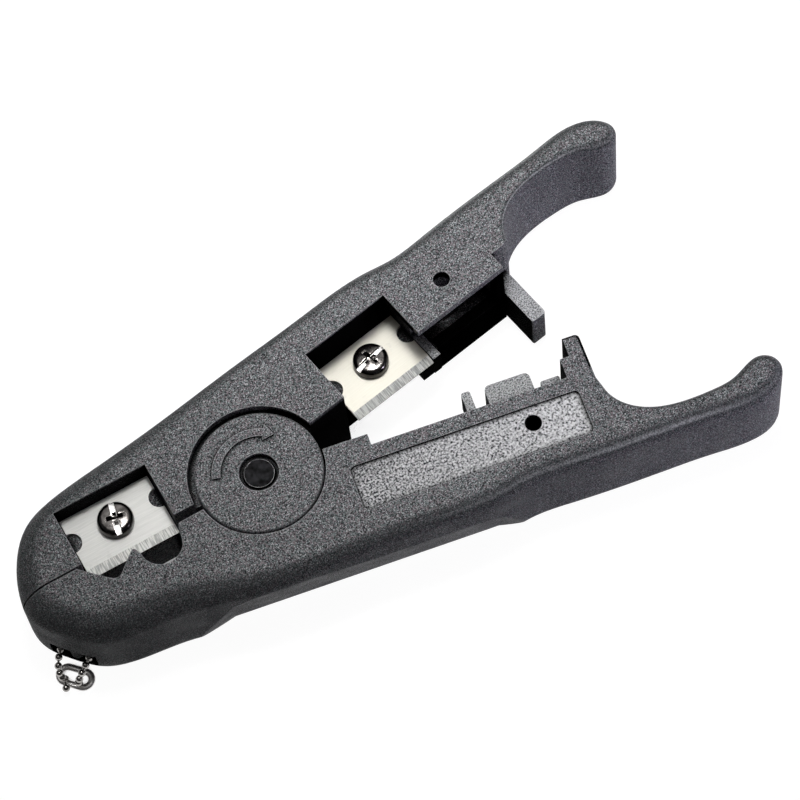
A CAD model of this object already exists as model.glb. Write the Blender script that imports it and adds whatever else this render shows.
import math

import bpy
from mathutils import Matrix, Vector


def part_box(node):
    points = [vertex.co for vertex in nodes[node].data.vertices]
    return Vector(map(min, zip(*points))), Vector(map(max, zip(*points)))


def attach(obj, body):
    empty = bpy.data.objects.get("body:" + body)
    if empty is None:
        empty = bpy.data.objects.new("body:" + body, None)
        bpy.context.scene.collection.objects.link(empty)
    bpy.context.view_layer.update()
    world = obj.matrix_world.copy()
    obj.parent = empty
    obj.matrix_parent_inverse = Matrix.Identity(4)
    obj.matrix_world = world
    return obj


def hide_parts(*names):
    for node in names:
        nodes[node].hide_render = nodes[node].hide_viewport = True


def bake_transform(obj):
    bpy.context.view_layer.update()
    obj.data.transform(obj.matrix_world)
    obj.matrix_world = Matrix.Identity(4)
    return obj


# Cable stripper and cutter in black textured plastic, lying open on a white table.
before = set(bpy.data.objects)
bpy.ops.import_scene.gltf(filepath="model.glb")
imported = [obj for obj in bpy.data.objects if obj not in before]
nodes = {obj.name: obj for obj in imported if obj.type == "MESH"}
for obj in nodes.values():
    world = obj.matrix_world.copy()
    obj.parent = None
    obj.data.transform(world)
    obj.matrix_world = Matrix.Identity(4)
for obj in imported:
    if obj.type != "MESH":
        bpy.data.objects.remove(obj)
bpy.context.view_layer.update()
mm = 0.001
halfOpen = math.radians(10.2)  # each lever is turned this far from the tool's own axis
print("frame loaded:", len(nodes), "nodes")

cameraSetup = {
    "place": (-58.394 * mm, -213.097 * mm, 511.464 * mm),
    "turn": (24.6143, 3.5788, -29.25),  # degrees about X, Y and Z
    "lens": 153.72,
    "sensor": 36.0,
    "clip": (0.01, 20.0),  # metres
}


def addCamera(setup):
    data = bpy.data.cameras.new("tableCamera")
    data.lens = setup["lens"]
    data.sensor_width = setup["sensor"]
    data.clip_start, data.clip_end = setup["clip"]
    camera = bpy.data.objects.new("tableCamera", data)
    camera.location = setup["place"]
    camera.rotation_euler = [math.radians(angle) for angle in setup["turn"]]
    bpy.context.scene.collection.objects.link(camera)
    bpy.context.scene.camera = camera


addCamera(cameraSetup)
print("camera placed")


# Small helpers for node trees
def newMaterial(name):
    material = bpy.data.materials.new(name)
    material.use_nodes = True
    material.node_tree.nodes.clear()
    return material, material.node_tree


def addNode(tree, kind, values=None, **settings):
    node = tree.nodes.new(kind)
    for key, value in settings.items():
        setattr(node, key, value)
    for key, value in (values or {}).items():
        if isinstance(value, bpy.types.NodeSocket):
            tree.links.new(value, node.inputs[key])
        else:
            node.inputs[key].default_value = value
    return node


def mixColours(tree, factor, first, second):
    mix = addNode(tree, "ShaderNodeMix", {0: factor, 6: first, 7: second}, data_type="RGBA")
    return mix.outputs[2]


def calculate(tree, operation, *values):
    node = addNode(tree, "ShaderNodeMath", dict(enumerate(values)), operation=operation)
    return node.outputs[0]


def times(tree, first, second):
    return calculate(tree, "MULTIPLY", first, second)


def remap(tree, value, fromLow, fromHigh, toLow=0.0, toHigh=1.0):
    values = dict(enumerate((value, fromLow, fromHigh, toLow, toHigh)))
    return addNode(tree, "ShaderNodeMapRange", values).outputs[0]


def fade(tree, mask, start, end=1.0):
    return remap(tree, mask, 0.0, 1.0, start, end)


def between(tree, value, low, high, soft):
    rising = remap(tree, value, low - soft, low + soft)
    falling = remap(tree, value, high - soft, high + soft, 1.0, 0.0)
    return times(tree, rising, falling)


def noiseAt(tree, vector, scale, detail, rough):
    values = {"Vector": vector, "Scale": scale, "Detail": detail, "Roughness": rough}
    return addNode(tree, "ShaderNodeTexNoise", values).outputs[0]


def ownPlace(tree):
    return addNode(tree, "ShaderNodeTexCoord").outputs["Object"]


def lengthwise(tree):  # from the pivot towards the ends of the handles
    return addNode(tree, "ShaderNodeSeparateXYZ", {0: ownPlace(tree)}).outputs[0]


def facingUp(tree):  # 1 on a flat top, 0 on an upright wall, -1 underneath
    normal = addNode(tree, "ShaderNodeNewGeometry").outputs["Normal"]
    return addNode(tree, "ShaderNodeSeparateXYZ", {0: normal}).outputs[2]


def localShade(tree, reach, closed, free):
    found = addNode(
        tree, "ShaderNodeAmbientOcclusion", {"Distance": reach}, samples=6, only_local=True)
    return remap(tree, found.outputs["AO"], closed, free)


def roughen(tree, bump, height, **more):
    values = {"Strength": bump[0], "Distance": bump[1], "Height": height, **more}
    return addNode(tree, "ShaderNodeBump", values).outputs[0]


def newGroup(name, given, results):
    group = bpy.data.node_groups.new(name, "ShaderNodeTree")
    for label, value in given.items():
        kind = "NodeSocketVector" if value is None else "NodeSocketFloat"
        socket = group.interface.new_socket(label, in_out="INPUT", socket_type=kind)
        if value is not None:
            socket.default_value = value
    for label in results:
        kind = "NodeSocketVector" if label == "normal" else "NodeSocketFloat"
        group.interface.new_socket(label, in_out="OUTPUT", socket_type=kind)
    start, end = group.nodes.new("NodeGroupInput"), group.nodes.new("NodeGroupOutput")
    return group, start.outputs, end.inputs


def useGroup(tree, group, **values):
    return addNode(tree, "ShaderNodeGroup", values, node_tree=group).outputs


def finishMaterial(tree, shader):
    addNode(tree, "ShaderNodeOutputMaterial", {0: shader.outputs[0]})


def setMaterial(piece, material):
    piece.data.materials.clear()
    piece.data.materials.append(material)


# Effects that several finishes share
sparkGrain = {
    "grainSize": 0.30 * mm,
    "blotchSize": 4.0 * mm,
    "speckScale": 1.3,  # against the scale of the grain
    "tintScale": 0.7,
    # noise detail and roughness, and the levels where each mask starts and is full
    "grain": (1.5, 0.60, 0.38, 0.64),
    "speck": (0.0, 0.50, 0.60, 0.76),
    "tint": (0.0, 0.50, 0.40, 0.62),
    "blotch": (3.0, 0.55, 0.32, 0.68),
}
wornEdge = {
    "width": 0.20 * mm,
    "turn": (0.992, 0.88),  # match of the rounded and the plain normal, at no and at full wear
    "samples": 4,
}
grinding = {
    # scale along, across and up, noise detail, and the levels where each mark starts and is full
    "polish": ((220.0, 5200.0, 600.0), 3.0, (0.34, 0.66)),
    "tick": ((4600.0, 240.0, 900.0), 2.0, (0.42, 0.57)),
    "stain": ((420.0, 420.0, 420.0), 3.0, (0.62, 0.72)),
    "noiseRough": 0.6,
}


def makeSparkTexture(look):
    group, given, result = newGroup(
        "sparkTexture", {"grainSize": look["grainSize"], "blotchSize": look["blotchSize"]},
        ("height", "grain", "speck", "tint", "blotch"))
    coords = ownPlace(group)
    fineScale = calculate(group, "DIVIDE", 1.0, given["grainSize"])
    scales = {
        "grain": fineScale,
        "speck": times(group, fineScale, look["speckScale"]),
        "tint": times(group, fineScale, look["tintScale"]),
        "blotch": calculate(group, "DIVIDE", 1.0, given["blotchSize"]),
    }
    for label, scale in scales.items():
        detail, rough, low, high = look[label]
        noise = noiseAt(group, coords, scale, detail, rough)
        group.links.new(remap(group, noise, low, high), result[label])
        if label == "grain":
            group.links.new(noise, result["height"])
    return group


def makeEdgeWear(look):
    group, given, result = newGroup("edgeWear", {"width": look["width"]}, ("mask", "normal"))
    rounded = addNode(group, "ShaderNodeBevel", {"Radius": given["width"]}, samples=look["samples"])
    plain = addNode(group, "ShaderNodeNewGeometry").outputs["Normal"]
    match = addNode(
        group, "ShaderNodeVectorMath", {0: rounded.outputs[0], 1: plain}, operation="DOT_PRODUCT")
    group.links.new(remap(group, match.outputs["Value"], *look["turn"]), result["mask"])
    group.links.new(rounded.outputs[0], result["normal"])
    return group


def makeGroundSteel(look):
    marks = ("polish", "tick", "stain")
    group, given, result = newGroup("groundSteel", {"along": None}, marks)
    for label in marks:
        scale, detail, levels = look[label]
        stretched = addNode(group, "ShaderNodeMapping", {"Vector": given["along"], "Scale": scale})
        noise = noiseAt(group, stretched.outputs[0], 1.0, detail, look["noiseRough"])
        group.links.new(remap(group, noise, *levels), result[label])
    return group


sparkTexture = makeSparkTexture(sparkGrain)
edgeWear = makeEdgeWear(wornEdge)
groundSteel = makeGroundSteel(grinding)

leverPlastic = {
    "dark": (0.024, 0.027, 0.028, 1.0),
    "pale": (0.190, 0.218, 0.220, 1.0),
    "paleWarm": (0.226, 0.190, 0.206, 1.0),
    "speck": (0.48, 0.49, 0.50, 1.0),
    "edge": (0.46, 0.46, 0.47, 1.0),
    "smooth": (0.72, 0.73, 0.74, 1.0),
    "shadow": (0.002, 0.002, 0.002, 1.0),
    "rough": (0.52, 0.70),
    "grainSize": 0.24 * mm,
    "bump": (0.7, 0.12 * mm),  # strength and depth
    "specular": 0.12,
    "specularTint": (0.15, 0.15, 0.15, 1.0),
    "topFacing": (0.90, 0.97),  # how far up a face turns to count as a top
    "edgeWidth": 0.22 * mm,
    "edgeGrain": 0.6,  # share of the edge wear that is left between the grains
    "edgeFade": 3.0,  # how soon the edge wear ends towards an inner corner
    # reach of the shade, and how open a place is where it is full and where it ends
    "cavity": (11.0 * mm, 0.34, 0.74),
    "cornerLine": (1.0 * mm, 0.76, 0.955),
    "lineLight": 0.12,  # light left in the thin line of the inner corners
    "gapLight": 0.04,  # and round the pin
    "gapSoft": 0.6 * mm,
    "cover": 0.97,  # how dark the innerZones are
}
# Rounded edges: darker where hands smooth them, with a pale line along the handles
handledEdges = {
    "share": 0.58,
    "rise": (0.20, 0.55),  # how far up the faces turn where the darker band starts
    "fall": (0.91, 0.998),  # and where it ends
    "ridge": (0.62, 0.76, 0.08),  # the same for the pale line, and its softness
    "ridgeAlong": (16.0 * mm, 60.0 * mm),  # where along the handles it starts and is full
    "ridgeShare": 0.90,
    "hookFade": (66.0 * mm, 74.0 * mm, 1.0, 0.3),  # and where it fades again, to a smaller share
    "ridgeGrain": 0.25,
}
# Boxes in millimetres. Zones and panel lie in their lever's own frame, which a turn brings into
# line, and the rest in the tool's frame
smoothTops = {"x": (33.0, 58.0), "z": (8.0, 16.6)}  # tops of the lugs and the latch finger
smoothShare = (0.08, 0.62)  # between the grains and on them
pivotGap = {"x": (6.0, 21.0), "y": (-9.5, 9.5), "z": (-1.0, 17.7)}
innerZones = {  # dark places that face the other lever; with walls, their tops stay light
    "upper": [
        {"walls": True, "x": (18.5, 52.2), "y": (-8.0, 4.2), "z": (-1.0, 16.9)},
        {"walls": True, "x": (52.0, 52.8), "y": (-4.5, 4.2), "z": (-1.0, 16.9)},
        {"walls": False, "x": (38.0, 52.2), "y": (-8.0, 4.2), "z": (-1.0, 16.6)},
        {"walls": True, "x": (17.9, 34.9), "y": (3.5, 11.6), "z": (-1.0, 17.9)},
        {"walls": False, "x": (41.9, 45.1), "y": (5.5, 8.8), "z": (1.0, 18.0)},
        {"walls": True, "x": (-31.9, -14.7), "y": (3.0, 10.9), "z": (-1.0, 18.0),
         "cover": 0.75, "turn": 0.0},
    ],
    "lower": [
        {"walls": True, "x": (30.0, 60.0), "y": (-1.2, 12.0), "z": (-1.0, 18.6)},
    ],
}
panelFinish = {
    "place": {"x": (13.6, 52.1), "y": (-12.1, -4.3), "z": (17.9, 18.25)},
    "grainSize": 0.34 * mm,
    "dark": (0.020, 0.020, 0.022, 1.0),
    "pale": (0.63, 0.63, 0.64, 1.0),
    "worn": (0.88, 0.88, 0.89, 1.0),
    "rubbed": (14.0 * mm, 46.0 * mm),  # where the wear starts and where it is full
    "rubbedShare": 0.55,
}


def boxMask(tree, box, turn=0.0, soft=0.03 * mm):
    turned = addNode(
        tree, "ShaderNodeMapping", {"Vector": ownPlace(tree), "Rotation": (0.0, 0.0, turn)})
    parts = addNode(tree, "ShaderNodeSeparateXYZ", {0: turned.outputs[0]}).outputs
    mask = 1.0
    for part, axis in zip(parts, "xyz"):
        if axis in box:
            low, high = box[axis]
            mask = times(tree, mask, between(tree, part, low * mm, high * mm, soft))
    return mask


def addPanel(tree, panel, colour, height):
    mask = boxMask(tree, panel["place"], halfOpen)
    coarse = useGroup(tree, sparkTexture, grainSize=panel["grainSize"])
    bright = mixColours(tree, coarse["grain"], panel["dark"], panel["pale"])
    rubbed = times(tree, remap(tree, lengthwise(tree), *panel["rubbed"]), coarse["tint"])
    bright = mixColours(tree, times(tree, rubbed, panel["rubbedShare"]), bright, panel["worn"])
    relief = addNode(tree, "ShaderNodeMix", {0: mask, 2: height, 3: coarse["height"]})
    return mixColours(tree, mask, colour, bright), relief.outputs[0]


def addHandledEdges(tree, look, edges, colour, upward, grain):
    handled = times(tree, remap(tree, upward, *edges["rise"]),
                    remap(tree, upward, *edges["fall"], 1.0, 0.0))
    colour = mixColours(tree, times(tree, handled, edges["share"]), colour, look["dark"])
    along = lengthwise(tree)
    ridge = times(tree, between(tree, upward, *edges["ridge"]),
                  remap(tree, along, *edges["ridgeAlong"], 0.0, edges["ridgeShare"]))
    ridge = times(tree, ridge, remap(tree, along, *edges["hookFade"]))
    ridge = times(tree, ridge, fade(tree, grain, edges["ridgeGrain"]))
    return mixColours(tree, ridge, colour, look["speck"])


def shadeInside(tree, look, corner, flatTop, zones, turn):
    shade = localShade(tree, *look["cavity"])
    line = fade(tree, corner, look["lineLight"])
    gap = fade(tree, boxMask(tree, pivotGap, soft=look["gapSoft"]), 1.0, look["gapLight"])
    shade = times(tree, times(tree, shade, line), gap)
    for zone in zones:
        cover = zone.get("cover", look["cover"])
        if zone["walls"]:
            cover = fade(tree, flatTop, cover, 0.0)
        covered = times(tree, boxMask(tree, zone, zone.get("turn", turn)), cover)
        shade = times(tree, shade, fade(tree, covered, 1.0, 0.0))
    return shade


def makeTexturedPlastic(name, look, zones=(), turn=0.0, panel=None):
    material, tree = newMaterial(name)
    texture = useGroup(tree, sparkTexture, grainSize=look["grainSize"])
    wear = useGroup(tree, edgeWear, width=look["edgeWidth"])
    grain, height = texture["grain"], texture["height"]
    pale = mixColours(tree, texture["tint"], look["pale"], look["paleWarm"])
    colour = mixColours(tree, grain, look["dark"], pale)
    colour = mixColours(tree, texture["speck"], colour, look["speck"])
    rough = fade(tree, texture["blotch"], *look["rough"])
    if panel:
        colour, height = addPanel(tree, panel, colour, height)
    upward = facingUp(tree)
    flatTop = remap(tree, upward, *look["topFacing"])
    smooth = times(tree, boxMask(tree, smoothTops), flatTop)
    smooth = times(tree, smooth, fade(tree, grain, *smoothShare))
    colour = mixColours(tree, smooth, colour, look["smooth"])
    colour = addHandledEdges(tree, look, handledEdges, colour, upward, grain)
    corner = localShade(tree, *look["cornerLine"])  # dark only in the inner corners
    worn = times(tree, wear["mask"], calculate(tree, "POWER", corner, look["edgeFade"]))
    worn = times(tree, worn, fade(tree, grain, look["edgeGrain"]))
    colour = mixColours(tree, worn, colour, look["edge"])
    shade = shadeInside(tree, look, corner, flatTop, zones, turn)
    colour = mixColours(tree, shade, look["shadow"], colour)
    # where the shade is full the black is metallic, so that no gloss lightens it
    shader = addNode(tree, "ShaderNodeBsdfPrincipled", {
        "Base Color": colour,
        "Metallic": calculate(tree, "SUBTRACT", 1.0, shade),
        "Roughness": rough,
        "Normal": roughen(tree, look["bump"], height, Normal=wear["normal"]),
        "Specular IOR Level": look["specular"],
        "Specular Tint": look["specularTint"],
    })
    finishMaterial(tree, shader)
    return material


plastic = makeTexturedPlastic("leverPlastic", leverPlastic, innerZones["upper"], -halfOpen)
labelledPlastic = makeTexturedPlastic(
    "leverPlasticWithPanel", leverPlastic, innerZones["lower"], halfOpen, panelFinish)
capPlastic = makeTexturedPlastic("capPlastic", dict(leverPlastic, edgeWidth=0.30 * mm))
setMaterial(nodes["lower_lever"], labelledPlastic)
setMaterial(nodes["upper_lever"], plastic)
for name in ("front_pivot_cap", "back_pivot_cap"):
    setMaterial(nodes[name], capPlastic)
print("plastic made")

bladeFinish = {
    "metallic": 0.30,
    "stain": (0.30, 0.29, 0.27, 1.0),
    "stainShare": 0.2,
    "edgeWidth": 0.11 * mm,
    "groundSlope": (0.6, 0.975, 0.01),  # how far up the ground faces turn, and a soft limit
    "bump": (0.3, 0.02 * mm),  # strength and depth
    "blades": {
        "stripping_blade": {
            "turn": 0.0,
            "low": (0.505, 0.505, 0.485, 1.0),
            "high": (0.590, 0.585, 0.562, 1.0),
            "ground": (0.54, 0.54, 0.52, 1.0),
            "groundHigh": (0.94, 0.93, 0.90, 1.0),
            "edge": (0.95, 0.94, 0.92, 1.0),
            "rough": (0.40, 0.52),
        },
        "cutter_blade": {
            "turn": -halfOpen,
            "low": (0.545, 0.524, 0.455, 1.0),
            "high": (0.590, 0.568, 0.498, 1.0),
            "ground": (0.30, 0.30, 0.295, 1.0),
            "groundHigh": (0.62, 0.62, 0.605, 1.0),
            "edge": (0.06, 0.06, 0.06, 1.0),
            "rough": (0.42, 0.50),
        },
    },
}


def makeBladeSteel(name, look, common):
    material, tree = newMaterial(name)
    along = addNode(
        tree, "ShaderNodeMapping", {"Vector": ownPlace(tree), "Rotation": (0.0, 0.0, look["turn"])})
    steel = useGroup(tree, groundSteel, along=along.outputs[0])
    flat = mixColours(tree, steel["polish"], look["low"], look["high"])
    ground = mixColours(tree, steel["tick"], look["ground"], look["groundHigh"])
    upward = calculate(tree, "ABSOLUTE", facingUp(tree))
    colour = mixColours(tree, between(tree, upward, *common["groundSlope"]), flat, ground)
    stain = times(tree, steel["stain"], common["stainShare"])
    colour = mixColours(tree, stain, colour, common["stain"])
    wear = useGroup(tree, edgeWear, width=common["edgeWidth"])
    colour = mixColours(tree, wear["mask"], colour, look["edge"])
    shader = addNode(tree, "ShaderNodeBsdfPrincipled", {
        "Base Color": colour,
        "Metallic": common["metallic"],
        "Roughness": fade(tree, steel["polish"], *look["rough"]),
        "Normal": roughen(tree, common["bump"], steel["polish"], Normal=wear["normal"]),
    })
    finishMaterial(tree, shader)
    return material


for name, look in bladeFinish["blades"].items():
    setMaterial(nodes[name], makeBladeSteel(name + "Steel", look, bladeFinish))

turnedMetal = {
    "grainSize": 0.30 * mm,
    "blotchSize": 1.2 * mm,
    "edgeWidth": 0.16 * mm,
    "bump": (0.25, 0.03 * mm),  # strength and depth
    "finishes": {
        "screw_steel": {
            "low": (0.045, 0.042, 0.040, 1.0),
            "high": (0.15, 0.14, 0.135, 1.0),
            "rough": (0.10, 0.24),
        },
        "slot_steel": {
            "low": (0.50, 0.49, 0.48, 1.0),
            "high": (0.85, 0.84, 0.82, 1.0),
            "rough": (0.25, 0.40),
        },
        "ring_nickel": {
            "low": (0.74, 0.72, 0.71, 1.0),
            "high": (0.95, 0.93, 0.92, 1.0),
            "rough": (0.30, 0.46),
        },
        "chain_nickel": {
            "low": (0.22, 0.21, 0.20, 1.0),
            "high": (0.50, 0.48, 0.46, 1.0),
            "rough": (0.08, 0.20),
        },
        "spring_steel": {
            "low": (0.010, 0.010, 0.011, 1.0),
            "high": (0.035, 0.035, 0.037, 1.0),
            "rough": (0.22, 0.36),
        },
        "pin_steel": {
            "low": (0.002, 0.002, 0.002, 1.0),
            "high": (0.012, 0.012, 0.013, 1.0),
            "rough": (0.40, 0.60),
            "edge": (0.30, 0.30, 0.31, 1.0),
        },
    },
}


def makeTurnedMetal(name, look, common):
    material, tree = newMaterial(name)
    texture = useGroup(
        tree, sparkTexture, grainSize=common["grainSize"], blotchSize=common["blotchSize"])
    colour = mixColours(tree, texture["blotch"], look["low"], look["high"])
    wear = useGroup(tree, edgeWear, width=common["edgeWidth"])
    colour = mixColours(tree, wear["mask"], colour, look.get("edge", look["high"]))
    shader = addNode(tree, "ShaderNodeBsdfPrincipled", {
        "Base Color": colour,
        "Metallic": 1.0,
        "Roughness": fade(tree, texture["grain"], *look["rough"]),
        "Normal": roughen(tree, common["bump"], texture["height"]),
    })
    finishMaterial(tree, shader)
    return material


metals = {
    name: makeTurnedMetal(name, look, turnedMetal)
    for name, look in turnedMetal["finishes"].items()
}
for name, node in nodes.items():
    if name.startswith("chain"):
        setMaterial(node, metals["ring_nickel" if name == "chain_ring" else "chain_nickel"])
    elif name.endswith("screw"):
        setMaterial(node, metals["screw_steel"])
setMaterial(nodes["return_spring"], metals["spring_steel"])
setMaterial(nodes["pivot_pin"], metals["pin_steel"])
print("metals made")

smoothAngle = math.radians(35)  # edges that turn more than this stay sharp


# Small helpers for modelling
def selectOnly(piece):
    bpy.ops.object.select_all(action="DESELECT")
    piece.select_set(True)
    bpy.context.view_layer.objects.active = piece


def pickFaces(piece, test):
    bpy.ops.mesh.select_mode(type="FACE")
    bpy.ops.mesh.select_all(action="DESELECT")
    bpy.ops.object.mode_set(mode="OBJECT")
    for face in piece.data.polygons:
        face.select = test(face)
    bpy.ops.object.mode_set(mode="EDIT")


def isTop(face):
    return face.normal.z > 0.9


def isBase(face):
    return face.normal.z < -0.9


def isDisc(face):
    return len(face.vertices) > 8


def turnInPlan(angle):  # with no window the operator turns the other way
    bpy.ops.transform.rotate(value=-angle, orient_axis="Z", center_override=(0.0, 0.0, 0.0))


def applyModifier(piece, kind, name, **settings):
    selectOnly(piece)
    modifier = piece.modifiers.new(name, kind)
    for key, value in settings.items():
        setattr(modifier, key, value)
    bpy.ops.object.modifier_apply(modifier=modifier.name)


screwHead = {
    "radius": 2.95 * mm,
    "height": 1.95 * mm,
    "sides": 64,
    "rim": (0.95 * mm, 7),  # width and steps of the rounded rim
    "crown": ((0.6 * mm, 0.07 * mm), (0.6 * mm, 0.04 * mm)),  # width and rise of each step
    "shank": (1.5 * mm, 6.0 * mm),  # radius and length
    "shankTip": (0.25 * mm, 2),  # width and steps of its rounded end
    "softEdge": (0.05 * mm, 2, 0.6),  # width, steps, and the angle from which edges are softened
    # length, width and depth of each cut, and how much narrower its floor is
    "slot": ((6.6 * mm, 1.00 * mm, 0.75 * mm), (1.0, 0.86)),
    "cross": ((3.9 * mm, 1.05 * mm, 1.45 * mm), (0.45, 0.55)),
    "cutAbove": 0.1 * mm,  # the cuts are measured from this far above the head
    "floorLimit": 0.08 * mm,  # faces this near to the slot's floor are bright
    "places": {
        # middle of the seat, turn of the lever, and turn of the slot in degrees
        "stripping_blade_screw": ((-23.15 * mm, 5.8 * mm, 14.35 * mm), 0.0, 77.6),
        "cutter_blade_screw": ((27.5 * mm, 6.5 * mm, 10.05 * mm), halfOpen, 7.1),
    },
}


def addCutter(size, taper, turn, top):
    bpy.ops.object.select_all(action="DESELECT")
    bpy.ops.mesh.primitive_cube_add(size=1.0, location=(0.0, 0.0, 0.0))
    bar = bpy.context.object
    bar.name = "cutter"
    bpy.ops.object.mode_set(mode="EDIT")
    bpy.ops.mesh.select_all(action="SELECT")
    bpy.ops.transform.resize(value=(size[0], size[1], size[2] * 2))
    bpy.ops.transform.translate(value=(0.0, 0.0, top))
    pickFaces(bar, isBase)
    bpy.ops.transform.resize(value=(taper[0], taper[1], 1.0))
    bpy.ops.mesh.select_all(action="SELECT")
    turnInPlan(turn)
    bpy.ops.object.mode_set(mode="OBJECT")
    return bar


def addScrew(nodeName, look):
    place, leverTurn, spin = look["places"][nodeName]
    radius, height = look["radius"], look["height"]
    bpy.ops.object.select_all(action="DESELECT")
    bpy.ops.mesh.primitive_cylinder_add(
        vertices=look["sides"], radius=radius, depth=height, location=(0.0, 0.0, height / 2))
    piece = bpy.context.object
    piece.name = nodeName.replace("screw", "panScrew")
    bpy.ops.object.transform_apply(location=True, rotation=True, scale=True)
    bpy.ops.object.mode_set(mode="EDIT")
    pickFaces(piece, isTop)
    rim, rimSteps = look["rim"]
    bpy.ops.mesh.bevel(offset=rim, segments=rimSteps, affect="EDGES", profile=0.5)
    pickFaces(piece, lambda face: isDisc(face) and isTop(face))
    for step, rise in look["crown"]:
        bpy.ops.mesh.inset(thickness=step)
        bpy.ops.transform.translate(value=(0.0, 0.0, rise))
    pickFaces(piece, lambda face: isDisc(face) and isBase(face))
    shank, length = look["shank"]
    bpy.ops.mesh.inset(thickness=radius - shank)
    bpy.ops.mesh.extrude_region_move(TRANSFORM_OT_translate={"value": (0.0, 0.0, -length)})
    tip, tipSteps = look["shankTip"]
    bpy.ops.mesh.bevel(offset=tip, segments=tipSteps, affect="EDGES")
    bpy.ops.object.mode_set(mode="OBJECT")
    top = height + look["cutAbove"]
    for cut, angle in (("slot", 0), ("cross", 0), ("cross", 90)):
        size, taper = look[cut]
        bar = addCutter(size, taper, math.radians(angle), top)
        applyModifier(piece, "BOOLEAN", "recess",
                      operation="DIFFERENCE", solver="EXACT", object=bar)
        bpy.data.objects.remove(bar)
    soft, softSteps, softFrom = look["softEdge"]
    applyModifier(piece, "BEVEL", "softEdge", width=soft, segments=softSteps,
                  limit_method="ANGLE", angle_limit=softFrom)
    bpy.ops.object.mode_set(mode="EDIT")
    bpy.ops.mesh.select_all(action="SELECT")
    turnInPlan(math.radians(spin))
    bpy.ops.transform.translate(value=place)
    turnInPlan(leverTurn)
    bpy.ops.object.mode_set(mode="OBJECT")
    bpy.ops.object.shade_smooth_by_angle(angle=smoothAngle)
    setMaterial(piece, metals["screw_steel"])
    piece.data.materials.append(metals["slot_steel"])
    slotFloor = place[2] + top - look["slot"][0][2]
    for face in piece.data.polygons:
        if isTop(face) and abs(face.center.z - slotFloor) < look["floorLimit"]:
            face.material_index = 1
    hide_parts(nodeName)
    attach(piece, "upper_assembly")


for name in screwHead["places"]:
    addScrew(name, screwHead)
print("screws modelled")

chainRing = {
    "node": "chain_ring",
    "radii": (1.36 * mm, 0.62 * mm),  # to the middle of the band, and of the band itself
    "segments": (48, 16),  # round the ring and round the band
    "straight": 1.34 * mm,  # half the length of the oval's straight sides
    "flatten": 0.62,
    "shift": (0.55 * mm, 0.25 * mm),  # from the middle of the plain ring
    "lift": 0.02 * mm,  # above the table
    "turn": math.atan2(-0.74, 0.67),
}


def addChainRing(look):
    low, high = (Vector(corner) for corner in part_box(look["node"]))
    centre = (low + high) / 2
    middle, band = look["radii"]
    segments, sides = look["segments"]
    bpy.ops.object.select_all(action="DESELECT")
    bpy.ops.mesh.primitive_torus_add(
        major_segments=segments, minor_segments=sides, major_radius=middle, minor_radius=band)
    ring = bpy.context.object
    ring.name = "chainRingBand"
    bpy.ops.object.mode_set(mode="EDIT")
    for side in (1, -1):
        pickFaces(ring, lambda face: face.center.x * side > 0)
        bpy.ops.transform.translate(value=(side * look["straight"], 0.0, 0.0))
    bpy.ops.mesh.select_all(action="SELECT")
    bpy.ops.transform.resize(value=(1.0, 1.0, look["flatten"]))
    turnInPlan(look["turn"])
    across, along = look["shift"]
    height = band * look["flatten"] + look["lift"]
    bpy.ops.transform.translate(value=(centre.x + across, centre.y + along, height))
    bpy.ops.object.mode_set(mode="OBJECT")
    applyModifier(ring, "SUBSURF", "smooth", levels=1, render_levels=1)
    bpy.ops.object.shade_smooth()
    setMaterial(ring, metals["ring_nickel"])
    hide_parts(look["node"])
    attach(ring, "lower_assembly")


addChainRing(chainRing)
print("chain ring modelled")

windingSpring = {
    "node": "return_spring",
    "slot": "spring_steel",
    "mergeWithin": 0.001 * mm,
    "lowerTurn": 7.9 * mm,  # height up to which the wire stays with the lower lever
    "upperTurn": 10.5 * mm,  # height from which it goes with the upper lever
}


# The spring winds up as the handles close: one leg follows each lever
def addWindingSpring(look):
    spring = bpy.data.objects.new("windingSpring", nodes[look["node"]].data.copy())
    bpy.context.scene.collection.objects.link(spring)
    selectOnly(spring)
    bpy.ops.mesh.customdata_custom_splitnormals_clear()
    bpy.ops.object.mode_set(mode="EDIT")
    bpy.ops.mesh.select_all(action="SELECT")
    bpy.ops.mesh.remove_doubles(threshold=look["mergeWithin"])
    bpy.ops.object.mode_set(mode="OBJECT")
    bpy.ops.object.shade_smooth_by_angle(angle=smoothAngle, keep_sharp_edges=False)
    setMaterial(spring, metals[look["slot"]])
    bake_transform(spring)
    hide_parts(look["node"])


addWindingSpring(windingSpring)
print("return spring made to wind")

roomSetup = {
    "front": 0.02,
    "back": 0.14,
    "facing": (0.35, 0.40, 0.85),  # the brighter side of the room
    "full": 0.95,  # how directly a ray heads that way where the room is brightest
    "lamps": {
        # place, aimed at, size, watts, colour, spread in degrees
        "overheadPanel": (
            (0.06, 0.15, 0.42), (0.03, 0.0, 0.01), 0.40, 0.58, (1.0, 1.0, 0.99), 180.0),
        "poolLamp": (
            (0.07, 0.08, 0.42), (0.036, 0.026, 0.01), 0.10, 0.044, (1.0, 1.0, 1.0), 29.0),
        "sidePanel": (
            (0.26, -0.24, 0.10), (0.090, -0.01, 0.005), 0.10, 0.022, (0.84, 0.80, 1.0), 24.0),
    },
}
tableSetup = {
    "size": 6.0,
    "drop": 0.02 * mm,  # below the resting plane
    "colour": (0.12, 0.12, 0.12, 1.0),
    "glow": 0.96,
    "contact": (16.0 * mm, 12),  # reach and samples of the contact shadow
    "shadow": (0.06, 0.14),  # how open a place is where the shadow is full and where it ends
}


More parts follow.
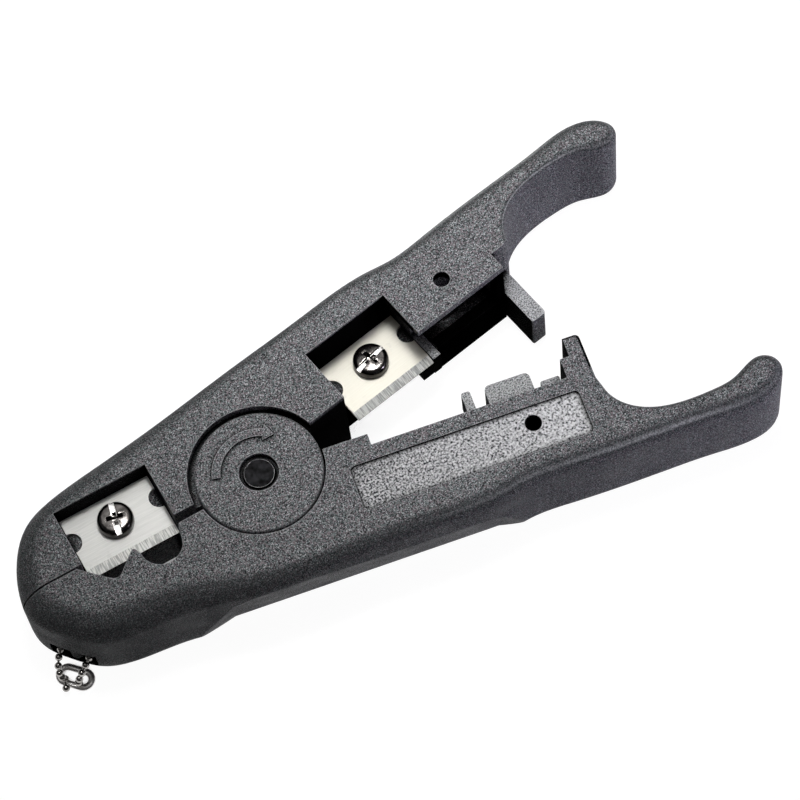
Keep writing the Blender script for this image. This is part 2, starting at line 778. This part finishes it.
def addLamp(name, place, target, size, power, colour, spread):
    data = bpy.data.lights.new(name, "AREA")
    data.shape = "SQUARE"
    data.size = size
    data.energy = power
    data.color = colour
    data.spread = math.radians(spread)
    lamp = bpy.data.objects.new(name, data)
    lamp.location = place
    lamp.rotation_euler = (Vector(target) - Vector(place)).to_track_quat("-Z", "Y").to_euler()
    bpy.context.scene.collection.objects.link(lamp)


def addRoom(setup):
    world = bpy.data.worlds.new("studio")
    bpy.context.scene.world = world
    world.use_nodes = True
    tree = world.node_tree
    tree.nodes.clear()
    heading = addNode(tree, "ShaderNodeTexCoord").outputs["Generated"]
    facing = Vector(setup["facing"]).normalized()
    toward = addNode(tree, "ShaderNodeVectorMath", {0: heading, 1: facing}, operation="DOT_PRODUCT")
    strength = remap(
        tree, toward.outputs["Value"], 0.0, setup["full"], setup["front"], setup["back"])
    white = (1.0, 1.0, 1.0, 1.0)
    sky = addNode(tree, "ShaderNodeBackground", {"Color": white, "Strength": strength})
    addNode(tree, "ShaderNodeOutputWorld", {0: sky.outputs[0]})
    for name, lamp in setup["lamps"].items():
        addLamp(name, *lamp)


def addTable(setup):
    bpy.ops.object.select_all(action="DESELECT")
    bpy.ops.mesh.primitive_plane_add(size=setup["size"], location=(0.0, 0.0, -setup["drop"]))
    table = bpy.context.object
    table.name = "whiteTable"
    material, tree = newMaterial("whiteTable")
    diffuse = addNode(tree, "ShaderNodeBsdfDiffuse", {"Color": setup["colour"]})
    reach, samples = setup["contact"]
    around = addNode(tree, "ShaderNodeAmbientOcclusion", {"Distance": reach}, samples=samples)
    strength = remap(tree, around.outputs["AO"], *setup["shadow"], 0.0, setup["glow"])
    glow = addNode(tree, "ShaderNodeEmission", {"Strength": strength})
    both = addNode(tree, "ShaderNodeAddShader", {0: diffuse.outputs[0], 1: glow.outputs[0]})
    # only the camera and glossy pieces see the glow, so it lights nothing
    path = addNode(tree, "ShaderNodeLightPath").outputs
    seen = calculate(tree, "MAXIMUM", path["Is Camera Ray"], path["Is Glossy Ray"])
    pick = addNode(
        tree, "ShaderNodeMixShader", {0: seen, 1: diffuse.outputs[0], 2: both.outputs[0]})
    finishMaterial(tree, pick)
    setMaterial(table, material)


addRoom(roomSetup)
addTable(tableSetup)
bpy.context.scene.view_settings.view_transform = "Standard"
print("table and lamps placed")
